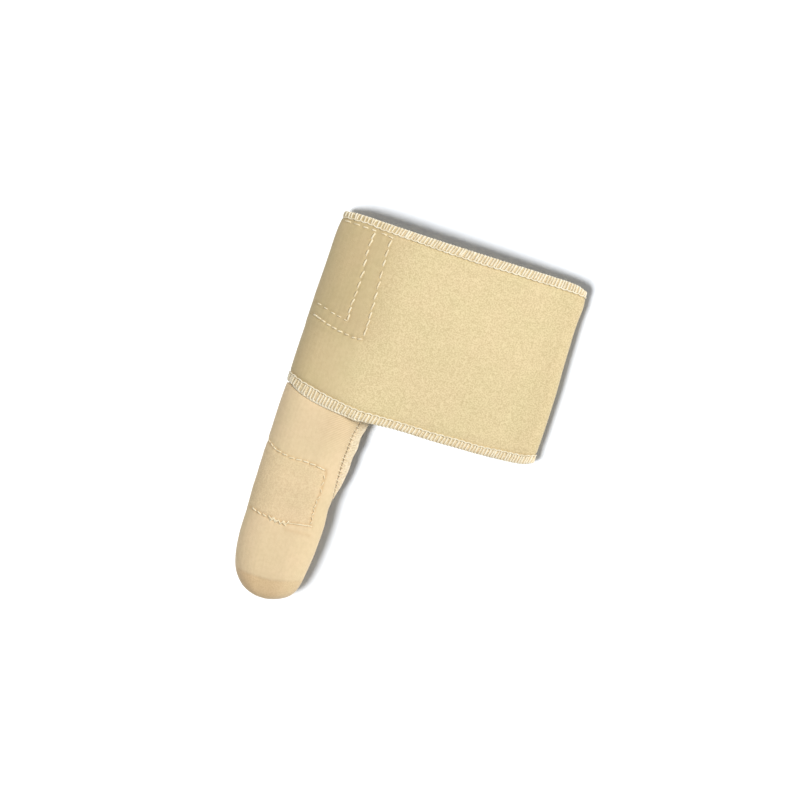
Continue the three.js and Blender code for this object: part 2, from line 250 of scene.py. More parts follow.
rimMiddle = rimOver(sleeve["width"] / 2)


# How far a place on the sleeve lies past the crease near its tip
def pastCrease(x, distance):
    across = (x - sleeve["shift"]) / sleeve["width"]
    return distance - sleeve["length"] + sleeve["dome"] * (1 - creaseAlong(across))


# A point on the sleeve's outside, at a distance from the band's rim, without small relief
def sleeveMiddle(turn, distance):
    share = min(max(distance / sleeve["length"], 0.0), 1.0)
    pastDome = (distance - sleeve["length"] + sleeve["dome"]) / sleeve["dome"]
    pastDome = min(max(pastDome, 0.0), 1.0)
    dome = (1 - pastDome ** sleeve["domePower"]) ** (1 / sleeve["domeRoot"])
    neck = 1 - blendIn(distance, -1.2, 0.5)
    onTip = blendIn(distance - sleeve["length"] + sleeve["dome"], -3, 2)
    rounding = math.sqrt(min(max(sleeve["length"] - distance, 0.0) / sleeve["dome"], 1.0))
    left = mix(sleeve["shift"] + sleeve["width"] * sleeveLeft(share), tipLeft(rounding), onTip)
    left += sleeve["neckAside"] * neck
    right = mix(sleeve["shift"] + sleeve["width"] * sleeveRight(share), tipRight(rounding), onTip)
    full = sleeve["height"] * sleeveRise(share)
    high = (full - (sleeve["neckUnder"] + sleeve["neckOver"]) * neck) * math.sqrt(dome)
    fold = sleeve["fold"] * dome
    x, bulge, z = flatTube(turn, left, right, high, fold, fold)
    bow = (rimOver(x) - rimMiddle) * (1 - blendIn(share, 0, sleeve["bowEnd"]))
    z += sleeve["neckUnder"] * neck + full * (1 - math.sqrt(dome)) / 3
    if math.sin(turn) > 0:
        past = pastCrease(x, distance)
        step = blendIn(past, -0.5, 0.7) * (1 - blendIn(past, 1, 9))
        near = math.exp(-((past / sleeve["creaseWidth"]) ** 2))
        z -= sleeve["creaseDepth"] * (step + 0.3 * near) * math.sin(turn) * dome
    return Vector((x, sleeveRoot + bow - distance, z))


# The direction that points out of a surface at a place on it
def outward(surface, turn, along, small=1e-3):
    roundIt = surface(turn + small, along) - surface(turn - small, along)
    downIt = surface(turn, along + small) - surface(turn, along - small)
    return downIt.cross(roundIt).normalized()


def signedAcross(turn, width):  # x on the upper layer, and -x on the lower one
    x = width * (1 - math.cos(turn)) / 2
    return -x if math.sin(turn) < 0 else x


def turnAt(across, width):
    turn = math.acos(1 - 2 * min(abs(across) / width, 1.0))
    return -turn if across < 0 else turn


# The length round a surface, and the turn at any share of that length. With a pitch, the length is
# counted in wraps of thread.
def roundSurface(surface, along, pitchAt=None):
    fine = 1440
    lengths = [0.0]
    before = surface(0, along)
    for i in range(1, fine + 1):
        turn = fullTurn * i / fine
        here = surface(turn, along)
        across = (1 - math.cos(turn)) / 2
        step = (here - before).length
        lengths.append(lengths[-1] + (step / pitchAt(across) if pitchAt else step))
        before = here

    def turnFor(share):
        want = (share % 1.0) * lengths[-1]
        low, high = 0, fine
        while high - low > 1:
            half = (low + high) // 2
            if lengths[half] <= want:
                low = half
            else:
                high = half
        t = (want - lengths[low]) / max(lengths[low + 1] - lengths[low], 1e-9)
        return fullTurn * (low + t) / fine

    return lengths[-1], turnFor


# Shares of the way round for evenly counted columns, closer together where there is more to show
def closerColumns(stops, u):
    for (fromColumn, fromShare), (toColumn, toShare) in zip(stops, stops[1:]):
        if u <= toColumn:
            return mix(fromShare, toShare, (u - fromColumn) / (toColumn - fromColumn))
    return 1.0


# Where the frame has the band's corner
sides = (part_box("forefoot_band")[0][0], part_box("forefoot_band")[1][0])
cornerX = (sides[0] + sides[1]) / 2 - band["width"] / 2 * mm
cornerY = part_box("toe_sleeve")[0][1] - (sleeveRoot - sleeve["length"]) * mm
print("corner of the band in the frame:", round(cornerX / mm, 2), round(cornerY / mm, 2))


# Into the frame, no lower than the table leaves room for
def place(point, room=0.0):
    return Vector((cornerX + point[0] * mm, cornerY + point[1] * mm, max(point[2], room) * mm))


# The rows of stitches. Each is a line of (across, y) points, and across is negative on the lower layer.
stitches = {
    "groove": 0.32,
    "grooveWidth": 0.8,
    "pucker": 0.1,
    "puckerReach": 3.0,
    "height": 0.22,  # of the thread's middle over the pressed cloth
}
bandRows = (
    {"line": ((2.0, -3.4), (10.0, -3.7), (16.0, -3.8), (21.7, -4.4)),
     "at": (0.5, 4.3, 8.0, 11.6, 16.2, 19.2), "dash": 2.2, "lean": 0.05, "radius": 0.34},
    {"line": ((21.8, -5.2), (22.4, -15.0), (23.2, -26.0), (23.9, -38.0), (24.0, -47.0)),
     "at": (1.7, 5.8, 10.1, 15.0, 19.4, 23.9, 28.3, 32.2, 35.6, 39.0), "dash": 3.2, "lean": -0.16, "radius": 0.42},
    {"line": ((24.0, -47.7), (20.2, -48.0), (14.0, -47.3), (8.7, -46.2), (4.2, -44.7), (1.4, -43.7)),
     "at": (1.3, 3.8, 7.0, 10.0, 12.8, 15.4, 18.0, 20.1, 21.8), "dash": 1.9, "lean": 0.1, "radius": 0.37},
    {"line": ((14.3, -4.6), (14.4, -13.0), (15.3, -22.0), (15.4, -30.0), (15.1, -37.0), (15.7, -41.9)),
     "at": (1.5, 4.5, 8.8, 13.0, 17.9, 22.3, 26.2, 29.8, 33.3, 36.4), "dash": 2.9, "lean": -0.2, "radius": 0.41},
    {"line": ((15.4, -42.4), (11.8, -41.6), (9.0, -41.1), (5.7, -40.1), (1.4, -38.8)),
     "at": (0.6, 3.7, 6.5, 10.0, 13.0), "dash": 1.7, "lean": 0.05, "radius": 0.26},
)
toeRows = (
    {"line": ((0.5, -99.0), (3.6, -100.8), (5.0, -101.4)),
     "at": (0.4, 2.2, 4.0), "dash": 1.5, "lean": -0.1, "radius": 0.29},
    {"line": ((5.0, -101.4), (8.0, -102.0), (12.0, -102.5), (18.2, -102.2), (22.0, -102.4), (26.9, -103.2)),
     "at": (0.9, 3.9, 7.1, 10.2, 13.3, 16.4, 19.2, 21.0), "dash": 2.5, "lean": 0.06, "radius": 0.31},
    {"line": ((27.3, -104.2), (27.5, -112.0), (27.2, -118.0), (27.2, -122.0), (27.4, -126.0)),
     "at": (1.7, 4.4, 7.4, 10.4, 12.3, 14.2, 15.8, 17.5, 19.3, 21.0), "dash": 1.5, "lean": 0.5, "radius": 0.23,
     "zigzag": True},
    {"line": ((2.0, -126.9), (5.5, -127.9), (8.0, -128.2), (10.5, -128.5)),
     "at": (1.2, 3.6, 6.1, 8.5), "dash": 1.9, "lean": -0.12, "radius": 0.32},
    {"line": ((10.6, -128.5), (14.2, -128.9), (18.0, -128.7)),
     "at": (0.6, 1.8, 3.0, 4.2, 5.4, 6.6), "dash": 1.5, "lean": 0.9, "radius": 0.34, "zigzag": True},
)
longThread = {"line": ((28.3, -126.7), (26.8, -126.8), (22.5, -127.5), (17.8, -128.4)), "radius": 0.27}


def mirrored(row):  # the same row on the lower layer
    return {**row, "line": tuple((-across, y) for across, y in row["line"])}


# Places at distances along a line: the point and its direction
def alongLine(line, distances):
    spots = []
    for want in distances:
        done = 0.0
        for (ax, ay), (bx, by) in zip(line, line[1:]):
            run = math.hypot(bx - ax, by - ay)
            if want <= done + run or (bx, by) == line[-1]:
                t = (want - done) / run
                spots.append(((mix(ax, bx, t), mix(ay, by, t)), ((bx - ax) / run, (by - ay) / run)))
                break
            done += run
    return spots


# How far a place lies from a line, and how far along the line its nearest point is
def nearestOn(line, across, y):
    best = (1e9, 0.0)
    done = 0.0
    for (ax, ay), (bx, by) in zip(line, line[1:]):
        dx, dy = bx - ax, by - ay
        run = math.hypot(dx, dy)
        t = min(max(((across - ax) * dx + (y - ay) * dy) / (run * run), 0.0), 1.0)
        away = math.hypot(across - ax - dx * t, y - ay - dy * t)
        if away < best[0]:
            best = (away, done + t * run)
        done += run
    return best


# The groove and the small puckers that rows of stitches press into the cloth
def stitchRelief(rows, across, y):
    height = 0.0
    for row in rows:
        away, along = nearestOn(row["line"], across, y)
        if away > 3 * stitches["puckerReach"]:
            continue
        weight = row["radius"] / 0.37
        beat = 0.0
        if "at" in row:  # lower between two dashes than under them
            nearest = min(abs(along - at) for at in row["at"])
            beat = math.cos(math.pi * min(nearest / row["dash"], 1.0))
        groove = math.exp(-((away / stitches["grooveWidth"]) ** 2))
        height -= stitches["groove"] * weight * groove * (0.85 - 0.15 * beat)
        uneven = noise.noise(Vector((along * 0.35, away * 0.2, row["line"][0][0])))
        spread = math.exp(-((away / stitches["puckerReach"]) ** 2)) * (1 - groove)
        height += stitches["pucker"] * weight * spread * (0.6 * beat + 1.8 * uneven)
    return height


bandRowsRound = bandRows + tuple(mirrored(row) for row in bandRows)
toeRowsRound = toeRows + tuple(mirrored(row) for row in toeRows)
longThreads = (longThread, mirrored(longThread))
# A thin line of painted shade, as of a small pucker, between the heel-side rim's chain and the top row of stitches
puckerShadeLine = {"line": ((1.0, -2.7), (12.0, -3.0), (20.0, -3.3)), "radius": 0.2}
puckerShadeLines = (puckerShadeLine, mirrored(puckerShadeLine))


# How far a place on the band lies past the threads of the nearer rim
def pastThreads(turn, share):
    across = (1 - math.cos(turn)) / 2
    length = band["length"] * (toeEdge(across) - heelEdge(across))
    heelSide = share * length - overlock["width"] * heelThread(across)
    toeSide = (1 - share) * length - overlock["width"] * toeThread(across)
    return min(heelSide, toeSide)


# 1 over the second layer inside the band, 0 away from it
def overBandPatch(across, y):
    return (1 - blendIn(abs(across), 22.5, 26.0)) * (1 - blendIn(-y, 46.0, 50.0))


def bandRelief(turn, share):
    across = signedAcross(turn, band["width"])
    y = bandMiddle(turn, share)[1]
    size = band["unevenSize"]
    past = pastThreads(turn, share)
    settle = blendIn(past, 1, 12) * (1 if math.sin(turn) > 0 else 0.4)
    height = band["unevenness"] * noise.noise(Vector((across / size, y / size, 3.1))) * settle
    height += band["unevenness"] * 0.4 * noise.noise(Vector((across / 9, y / 12, 8.7))) * settle
    if abs(across) < 36 and y > -60:
        height += band["patchRise"] * overBandPatch(across, y)
        height += stitchRelief(bandRowsRound, across, y)
    beside = (past - 0.95) / 0.45
    height -= 0.2 * math.exp(-beside * beside)
    return height


# 1 over the second layer inside the sleeve, 0 away from it
def overToePatch(across, y):
    inside = 1 - blendIn(abs(across), 26.4, 28.6)
    return inside * blendIn(-y, 101.0, 103.5) * (1 - blendIn(-y, 126.6, 129.2))


def sleeveRelief(turn, distance):
    across = signedAcross(turn, sleeve["width"])
    y = sleeveRoot - distance
    size = sleeve["unevenSize"]
    left = sleeve["length"] - distance
    settle = blendIn(distance, 1, 6) * blendIn(left, 2, 12) * (1 if math.sin(turn) > 0 else 0.4)
    height = sleeve["unevenness"] * noise.noise(Vector((across / size, y / (size * 1.4), 5.3))) * settle
    height += 0.06 * noise.noise(Vector((across / 4.5, y / 7, 1.9))) * settle
    if 14 < distance < 58:
        height += sleeve["patchRise"] * overToePatch(across, y)
        height += stitchRelief(toeRowsRound + longThreads, across, y)
        fold = nearestOn(((18.5, -130.9), (28.5, -130.3)), across, y)[0]
        height += 0.14 * math.exp(-((fold / 0.8) ** 2))
    return height


# How close a place is to a row of stitches: 1 on it, 0 away from it
def besideStitches(rows, across, y):
    away = min(nearestOn(row["line"], across, y)[0] for row in rows)
    return math.exp(-((away / 0.6) ** 2))


# How much shade is painted into the band's cloth, how smooth and how ribbed it is, at a place
def bandTones(across, y):
    x = abs(across)
    # Painted shade of the big toe's fold, where the cloth turns away from the light: over the patch rows, then
    # below them; the lined patch is also a little darker in itself
    foldShadeByPatch = 0.95 * (1 - blendIn(x, 14, 40)) - 0.25 * (1 - blendIn(x, 2, 8))
    below = 0.75 * (1 - blendIn(x, 6, 34))
    # Painted shade also near the far fold, where the cloth turns away from the light
    shade = mix(foldShadeByPatch, below, blendIn(-y, 40, 56)) + 0.3 * blendIn(x, 90, 105)
    if abs(across) < 26 and y > -51:
        # Painted shade in the grooves beside the rows of stitches and along the pucker line
        shade += 0.9 * besideStitches(bandRowsRound, across, y)
        shade += 0.9 * besideStitches(puckerShadeLines, across, y)
    return min(shade, 1.7), 1 - blendIn(x, 18, 30), 0.0


# How much shade is painted into the sleeve's cloth, how smooth and how ribbed it is, at a place
def sleeveTones(across, y):
    x = abs(across)
    past = pastCrease(x, sleeveRoot - y)
    # Painted shade below the crease near the tip, where the cloth turns down away from the light, warmer in tint
    # and weaker towards both sides; a little darker over the patch inside
    beyond = blendIn(past, -0.6, 0.9) if across > 0 else 0.0
    middle = blendIn(x, 2, 9) * (1 - 0.7 * blendIn(x, 17, 29))
    shade = 0.75 * beyond * mix(0.45, 1, middle) + 0.12 * overToePatch(across, y)
    # Painted shade in the small fold below the long thread
    wrinkle = nearestOn(((18.5, -131.0), (28.5, -130.4)), x, y)[0] if across > 0 else 9.0
    shade += 0.35 * math.exp(-((wrinkle / 0.8) ** 2))
    if -132 < y < -97:
        # Painted shade in the grooves beside the rows of stitches
        shade += 0.9 * besideStitches(toeRowsRound + longThreads, across, y)
    ribbed = blendIn(x, 15, 26) * (1 - blendIn(-y, 84, 99))
    return min(shade, 1.7), 1 - max(overToePatch(across, y), 0.7 * beyond), ribbed


def bandSurface(turn, share, height=0.0):
    raised = height + bandRelief(turn, share)
    return bandMiddle(turn, share) + outward(bandMiddle, turn, share) * raised


def sleeveSurface(turn, distance, height=0.0):
    raised = height + sleeveRelief(turn, distance)
    return sleeveMiddle(turn, distance) + outward(sleeveMiddle, turn, distance) * raised


# Materials
def newMaterial(name):
    material = bpy.data.materials.new(name)
    material.use_nodes = True
    nodes = material.node_tree.nodes
    return material, nodes, material.node_tree.links, nodes["Principled BSDF"]


def addNoise(nodes, links, source, scale, detail, roughness=0.55):
    node = nodes.new("ShaderNodeTexNoise")
    node.inputs["Scale"].default_value = scale
    node.inputs["Detail"].default_value = detail
    node.inputs["Roughness"].default_value = roughness
    links.new(source, node.inputs["Vector"])
    return node.outputs["Fac"]


def addRamp(nodes, links, source, stops):
    node = nodes.new("ShaderNodeValToRGB")
    ramp = node.color_ramp
    while len(ramp.elements) < len(stops):
        ramp.elements.new(0.5)
    for element, (position, colour) in zip(ramp.elements, stops):
        element.position = position
        element.color = (*colour, 1)
    links.new(source, node.inputs["Fac"])
    return node.outputs["Color"]


def addMix(nodes, links, factor, first, second, kind="MIX"):
    node = nodes.new("ShaderNodeMix")
    node.data_type = "RGBA"
    node.blend_type = kind
    for socket, value in (("Factor", factor), ("A", first), ("B", second)):
        target = [s for s in node.inputs if s.name == socket and s.enabled][0]
        if hasattr(value, "links"):
            links.new(value, target)
        else:
            target.default_value = value
    return [s for s in node.outputs if s.enabled][0]


# A value kept on the mesh from place to place
def meshValue(nodes, name):
    node = nodes.new("ShaderNodeAttribute")
    node.attribute_name = name
    return node.outputs["Fac"]


# The same colour multiplied by a tint
def addTint(nodes, links, colour, tint):
    return addMix(nodes, links, 1.0, colour, (*tint, 1), "MULTIPLY")


def addBump(nodes, links, height, strength, distance, normal=None):
    node = nodes.new("ShaderNodeBump")
    node.inputs["Strength"].default_value = strength
    node.inputs["Distance"].default_value = distance
    links.new(height, node.inputs["Height"])
    if normal is not None:
        links.new(normal, node.inputs["Normal"])
    return node.outputs["Normal"]


suede = {
    "bandLight": (0.81, 0.67, 0.405),
    "bandDark": (0.65, 0.525, 0.30),
    "sleeveLight": (0.835, 0.665, 0.425),
    "sleeveDark": (0.745, 0.575, 0.36),
    "shaded": (0.805, 0.775, 0.745),  # what the cloth's tone is multiplied by where shade is painted into it
    "tipShaded": (0.86, 0.78, 0.70),
    "grainSize": 1700.0,  # of the nap, per metre
    "mottleSize": 620.0,
    "napDepth": 0.00014,
    "roughness": 0.93,
    "sheen": 0.25,
}


# Soft stretch cloth with a fine mottled nap, and faint knitted wales under it
def suedeCloth(name, light, dark, shaded):
    material, nodes, links, shader = newMaterial(name)
    coords = nodes.new("ShaderNodeTexCoord")
    place3d = coords.outputs["Object"]
    grain = addNoise(nodes, links, place3d, suede["grainSize"], 2.0, 0.6)
    mottle = addNoise(nodes, links, place3d, suede["mottleSize"], 3.0, 0.55)
    cloudy = addNoise(nodes, links, place3d, 70.0, 2.0, 0.5)
    middle = tuple((a + b) / 2 for a, b in zip(light, dark))
    grainTone = addRamp(nodes, links, grain, ((0.38, dark), (0.5, middle), (0.6, light)))
    grainTone = addMix(nodes, links, meshValue(nodes, "smoothed"), grainTone, (*middle, 1))
    mottleTone = addRamp(nodes, links, mottle, ((0.36, (0.95, 0.945, 0.93)), (0.62, (1.0, 1.0, 1.0))))
    cloudTone = addRamp(nodes, links, cloudy, ((0.32, (0.968, 0.985, 0.955)), (0.68, (1.0, 0.988, 0.985))))
    tone = addMix(nodes, links, 1.0, grainTone, mottleTone, "MULTIPLY")
    tone = addMix(nodes, links, 1.0, tone, cloudTone, "MULTIPLY")
    # Painted shade: as far as the mesh's shade value says, the tone is multiplied by the shaded tint
    tone = addMix(nodes, links, meshValue(nodes, "shade"), tone, addTint(nodes, links, tone, shaded))
    ribs = nodes.new("ShaderNodeTexWave")
    ribs.bands_direction = "DIAGONAL"
    ribs.inputs["Scale"].default_value = 520.0
    ribs.inputs["Distortion"].default_value = 1.2
    links.new(coords.outputs["UV"], ribs.inputs["Vector"])
    ribTone = addRamp(nodes, links, ribs.outputs["Fac"], ((0.1, (0.9, 0.87, 0.84)), (0.7, (1.0, 1.0, 1.0))))
    ribbedTone = addMix(nodes, links, 1.0, tone, ribTone, "MULTIPLY")
    tone = addMix(nodes, links, meshValue(nodes, "ribbed"), tone, ribbedTone)
    links.new(tone, shader.inputs["Base Color"])
    wales = nodes.new("ShaderNodeTexWave")
    wales.inputs["Scale"].default_value = 190.0
    wales.inputs["Distortion"].default_value = 1.6
    wales.inputs["Detail"].default_value = 1.0
    wales.inputs["Detail Scale"].default_value = 1.5
    links.new(coords.outputs["UV"], wales.inputs["Vector"])
    normal = addBump(nodes, links, wales.outputs["Fac"], 0.12, suede["napDepth"])
    normal = addBump(nodes, links, mottle, 0.25, suede["napDepth"], normal)
    normal = addBump(nodes, links, grain, 0.6, suede["napDepth"], normal)
    links.new(normal, shader.inputs["Normal"])
    shader.inputs["Roughness"].default_value = suede["roughness"]
    shader.inputs["Specular IOR Level"].default_value = 0.2
    shader.inputs["Sheen Weight"].default_value = suede["sheen"]
    shader.inputs["Sheen Roughness"].default_value = 0.45
    return material


# Spun cream thread: a twist along each strand and a slight change of tone from place to place
def sewingThread(name, light, dark, twist=900.0):
    material, nodes, links, shader = newMaterial(name)
    coords = nodes.new("ShaderNodeTexCoord")
    tone = addNoise(nodes, links, coords.outputs["Object"], 420.0, 2.0)
    fuzz = addNoise(nodes, links, coords.outputs["Object"], 3200.0, 2.0)
    colour = addRamp(nodes, links, tone, ((0.35, dark), (0.62, light)))
    links.new(colour, shader.inputs["Base Color"])
    plies = nodes.new("ShaderNodeTexWave")
    plies.bands_direction = "DIAGONAL"
    plies.inputs["Scale"].default_value = twist
    plies.inputs["Distortion"].default_value = 0.6
    links.new(coords.outputs["Object"], plies.inputs["Vector"])
    normal = addBump(nodes, links, plies.outputs["Fac"], 0.4, 0.00012)
    normal = addBump(nodes, links, fuzz, 0.5, 0.0001, normal)
    links.new(normal, shader.inputs["Normal"])
    shader.inputs["Roughness"].default_value = 0.62
    shader.inputs["Specular IOR Level"].default_value = 0.35
    shader.inputs["Sheen Weight"].default_value = 0.15
    return material


bandCloth = suedeCloth("bandSuede", suede["bandLight"], suede["bandDark"], suede["shaded"])
sleeveCloth = suedeCloth("sleeveSuede", suede["sleeveLight"], suede["sleeveDark"], suede["tipShaded"])
creamThread = sewingThread("creamThread", (0.92, 0.84, 0.65), (0.80, 0.685, 0.47))
stitchThread = sewingThread("stitchThread", (0.92, 0.81, 0.575), (0.80, 0.66, 0.42))
seamCream = suedeCloth("seamCream", (0.90, 0.775, 0.59), (0.73, 0.59, 0.41), suede["shaded"])
bedCloth = suedeCloth("squeezedEdge", (0.80, 0.67, 0.45), (0.62, 0.48, 0.28), suede["shaded"])
print("materials ready")


# Pieces
def finishPiece(piece, material, smooth=True):
    piece.data.materials.clear()
    piece.data.materials.append(material)
    if smooth:
        piece.data.shade_smooth()
    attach(piece, "root")
    return piece


def linkMesh(name, mesh):
    piece = bpy.data.objects.new(name, mesh)
    bpy.context.collection.objects.link(piece)
    return piece


# A sheet of cloth, made flat to its cut size and then bent into its shape
def wrappedSheet(name, columns, rows, shape, flat, room=0.0, spread=lambda u: u):
    bm = bmesh.new()
    bmesh.ops.create_grid(bm, x_segments=columns, y_segments=rows, size=0.5)
    cut = bm.loops.layers.uv.new("cut")
    for face in bm.faces:
        for loop in face.loops:
            loop[cut].uv = (spread(loop.vert.co.x + 0.5) * flat[0], (loop.vert.co.y + 0.5) * flat[1])
    for vertex in bm.verts:
        vertex.co = place(shape(spread(vertex.co.x + 0.5), vertex.co.y + 0.5), room)
    bmesh.ops.remove_doubles(bm, verts=bm.verts, dist=0.004 * mm)
    bmesh.ops.recalc_face_normals(bm, faces=bm.faces)
    mesh = bpy.data.meshes.new(name)
    bm.to_mesh(mesh)
    bm.free()
    return linkMesh(name, mesh)


def giveWall(piece, thickness, offset):
    wall = piece.modifiers.new("wall", "SOLIDIFY")
    wall.thickness = thickness * mm
    wall.offset = offset
    wall.use_even_offset = False
    return wall


# Keeps on the mesh how much shade is painted into its cloth, how smooth and how ribbed it is, from place to place
def keepTones(piece, tones):
    names = ("shade", "smoothed", "ribbed")
    layers = [piece.data.attributes.new(name, "FLOAT", "POINT") for name in names]
    for vertex in piece.data.vertices:
        across = max((vertex.co.x - cornerX) / mm, 0.01)
        y = (vertex.co.y - cornerY) / mm
        found = tones(across if vertex.normal.z > 0 else -across, y)
        for layer, value in zip(layers, found):
            layer.data[vertex.index].value = value


# Strands of thread, each a smooth curve through its points with its own radius, made into one mesh
def threadPiece(name, strands, sides=1):
    widest = max(radius for _, _, radius in strands)
    data = bpy.data.curves.new(name, "CURVE")
    data.dimensions = "3D"
    data.bevel_depth = widest * mm
    data.bevel_resolution = sides
    data.use_fill_caps = True
    data.resolution_u = 2
    for points, closed, radius in strands:
        spline = data.splines.new("NURBS")
        spline.points.add(len(points) - 1)
        for target, point in zip(spline.points, points):
            target.co = (*place(point, radius), 1)
            target.radius = radius / widest
        spline.order_u = 3
        spline.use_cyclic_u = closed
        spline.use_endpoint_u = not closed
    loose = bpy.data.objects.new(name + "Curve", data)
    bpy.context.collection.objects.link(loose)
    ready = loose.evaluated_get(bpy.context.evaluated_depsgraph_get())
    mesh = bpy.data.meshes.new_from_object(ready)
    bpy.data.objects.remove(loose)
    mesh.name = name
    return linkMesh(name, mesh)


def makeBand():
    edge = 0.6  # the cloth ends this far inside the overlock
    closer = ((0.0, 0.0), (0.34, 0.131), (0.69, 0.5), (1.0, 1.0))
    _, turnFor = roundSurface(bandMiddle, 0.5)

    def shape(u, v):
        turn = turnFor(u)
        low = bandShare(turn, fromHeel=edge)
        high = bandShare(turn, fromToe=edge)
        return bandSurface(turn, mix(low, high, v))

    flat = (0.214, 0.079)
    piece = wrappedSheet("band_cloth", band["columns"], band["rows"], shape, flat, band["wall"] / 2,
                         lambda u: closerColumns(closer, u))
    group = piece.vertex_groups.new(name="wall")
    for vertex in piece.data.vertices:
        across = (vertex.co.x - cornerX) / mm / band["width"]
        y = (vertex.co.y - cornerY) / mm
        fromHeel = -band["length"] * heelEdge(across) - y
        fromToe = y + band["length"] * toeEdge(across)
        edgeLeft = min(fromHeel - overlock["width"] * heelThread(across),
                       fromToe - overlock["width"] * toeThread(across))
        group.add([vertex.index], blendIn(edgeLeft, 0.2, 1.8), "REPLACE")
    keepTones(piece, bandTones)
    wall = giveWall(piece, band["wall"], 0.0)
    wall.vertex_group = "wall"
    wall.thickness_vertex_group = 0.5
    finishPiece(piece, bandCloth)
    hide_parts("forefoot_band")
    return piece, flat


def makeSleeve():
    closer = ((0.0, 0.0), (0.66, 0.5), (1.0, 1.0))
    _, turnFor = roundSurface(sleeveMiddle, sleeve["length"] / 3)

    def shape(u, v):
        distance = mix(-sleeve["neckTuck"], sleeve["length"], 1 - (1 - v) ** 1.15)
        if v > 1 - 1e-6:
            return sleeveMiddle(0, sleeve["length"])
        return sleeveSurface(turnFor(u), distance)

    flat = (0.0737, 0.0915)
    piece = wrappedSheet("sleeve_cloth", sleeve["columns"], sleeve["rows"], shape, flat,
                         spread=lambda u: closerColumns(closer, u))
    keepTones(piece, sleeveTones)
    giveWall(piece, sleeve["wall"], -1.0)
    finishPiece(piece, sleeveCloth)
    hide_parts("toe_sleeve")
    return piece, flat


bandPiece, bandFlat = makeBand()
print("band made:", len(bandPiece.data.polygons), "faces")
sleevePiece, sleeveFlat = makeSleeve()
print("sleeve made:", len(sleevePiece.data.polygons), "faces")


# A point of the overlock: how far from the rim it lies, and how far out of the cloth's middle
def rimPoint(atHeel, turn, fromRim, height):
    if atHeel:
        share = bandShare(turn, fromHeel=fromRim)
    else:
        share = bandShare(turn, fromToe=fromRim)
    return bandMiddle(turn, share) + outward(bandMiddle, turn, share) * height


def threadReach(atHeel, turn):
    across = (1 - math.cos(turn)) / 2
    return overlock["width"] * (heelThread(across) if atHeel else toeThread(across))


# The path of one wrap of thread over the rim: its distance from the rim in widths of the overlock,
# its height in thicknesses of the bed, and how far its slant has gone
wrapPath = (
    (1.04, 0.55, 1.0),
    (0.98, 1.0, 1.0),
    (0.78, 1.12, 0.8),
    (0.45, 1.16, 0.45),
    (0.16, 1.1, 0.12),
    (-0.02, 0.72, 0.0),
    (-0.06, 0.0, 0.0),
    (-0.02, -0.72, 0.0),
    (0.16, -1.1, 0.12),
    (0.45, -1.16, 0.45),
    (0.78, -1.12, 0.8),
    (0.98, -1.0, 1.0),
    (1.04, -0.55, 1.0),
)


def makeOverlock(name, node, atHeel, seed):
    rng = random.Random(seed)
    share = 0.0 if atHeel else 1.0
    length, turnFor = roundSurface(bandMiddle, share, heelPitch if atHeel else toePitch)
    count = 2 * round(length / 2)
    bed = overlock["bed"]

    def turnOf(wrap):
        return turnFor(wrap / count)

    def slantOf(wrap):
        if not atHeel:
            return overlock["toeSlant"]
        across = (1 - math.cos(turnOf(wrap))) / 2
        return overlock["heelSlant"] * blendIn(across, 0.02, 0.4) * (1 - 0.5 * blendIn(across, 0.7, 1))

    wraps = []
    for wrap in range(count):
        drift = rng.uniform(-1, 1) * overlock["uneven"]
        lean = slantOf(wrap) + rng.uniform(-0.12, 0.12)
        reach = 1 + rng.uniform(-0.05, 0.05)
        thick = overlock["wrapRadius"] * rng.uniform(0.82, 1.1)
        points = []
        for out, high, gone in wrapPath:
            turn = turnOf(wrap + drift + lean * gone)
            fromRim = out * threadReach(atHeel, turn) * (reach if out > 0.6 else 1)
            points.append(rimPoint(atHeel, turn, fromRim, high * bed))
        wraps.append((points, False, thick))
    wrapsPiece = threadPiece(name + "_wraps", wraps)
    finishPiece(wrapsPiece, creamThread)

    chains = []
    for side in (1, -1):
        points = []
        for arch in range(count // 2):  # each arch of the chain spans two wraps
            uneven = rng.uniform(-0.1, 0.1)
            for part, out, high in ((0.0, 0.0, 0.95), (0.22, 0.7, 1.05), (0.5, 1.0, 0.95), (0.78, 0.75, 1.05)):
                turn = turnOf(2 * (arch + part) + slantOf(2 * arch))
                fromRim = threadReach(atHeel, turn) + 0.12 + overlock["arch"] * out * (1 + uneven)
                points.append(rimPoint(atHeel, turn, fromRim, side * (high * bed + 0.22)))
        chains.append((points, True, overlock["chainRadius"]))
    purl = []
    for wrap in range(count):
        for part, high in ((0.1, 0.45), (0.4, -0.1), (0.6, -0.45), (0.9, 0.1)):
            purl.append(rimPoint(atHeel, turnOf(wrap + part), -0.14, high * bed))
    chains.append((purl, True, overlock["purlRadius"]))
    chainPiece = threadPiece(name + "_chain", chains)
    finishPiece(chainPiece, creamThread)

    section = ((1.0, 0.45), (0.93, 0.86), (0.6, 1.0), (0.25, 0.98), (0.05, 0.7), (0.0, 0.0))
    ring = list(section) + [(out, -high) for out, high in section[-2::-1]]
    outs = {"at": tuple(range(len(ring))), "out": tuple(p[0] for p in ring), "high": tuple(p[1] for p in ring)}
    outAt = smoothCurve(outs, "out", "at")
    highAt = smoothCurve(outs, "high", "at")

    def shape(u, v):
        turn = fullTurn * u
        at = v * (len(ring) - 1)
        ripple = 1 + 0.04 * math.cos(fullTurn * u * count)
        return rimPoint(atHeel, turn, outAt(at) * threadReach(atHeel, turn), highAt(at) * bed * ripple)

    bedPiece = wrappedSheet(name + "_bed", 420, 22, shape, (0.214, 0.01))
    giveWall(bedPiece, 0.25, -1.0)
    finishPiece(bedPiece, bedCloth)
    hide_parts(node)
    return [wrapsPiece, chainPiece, bedPiece]


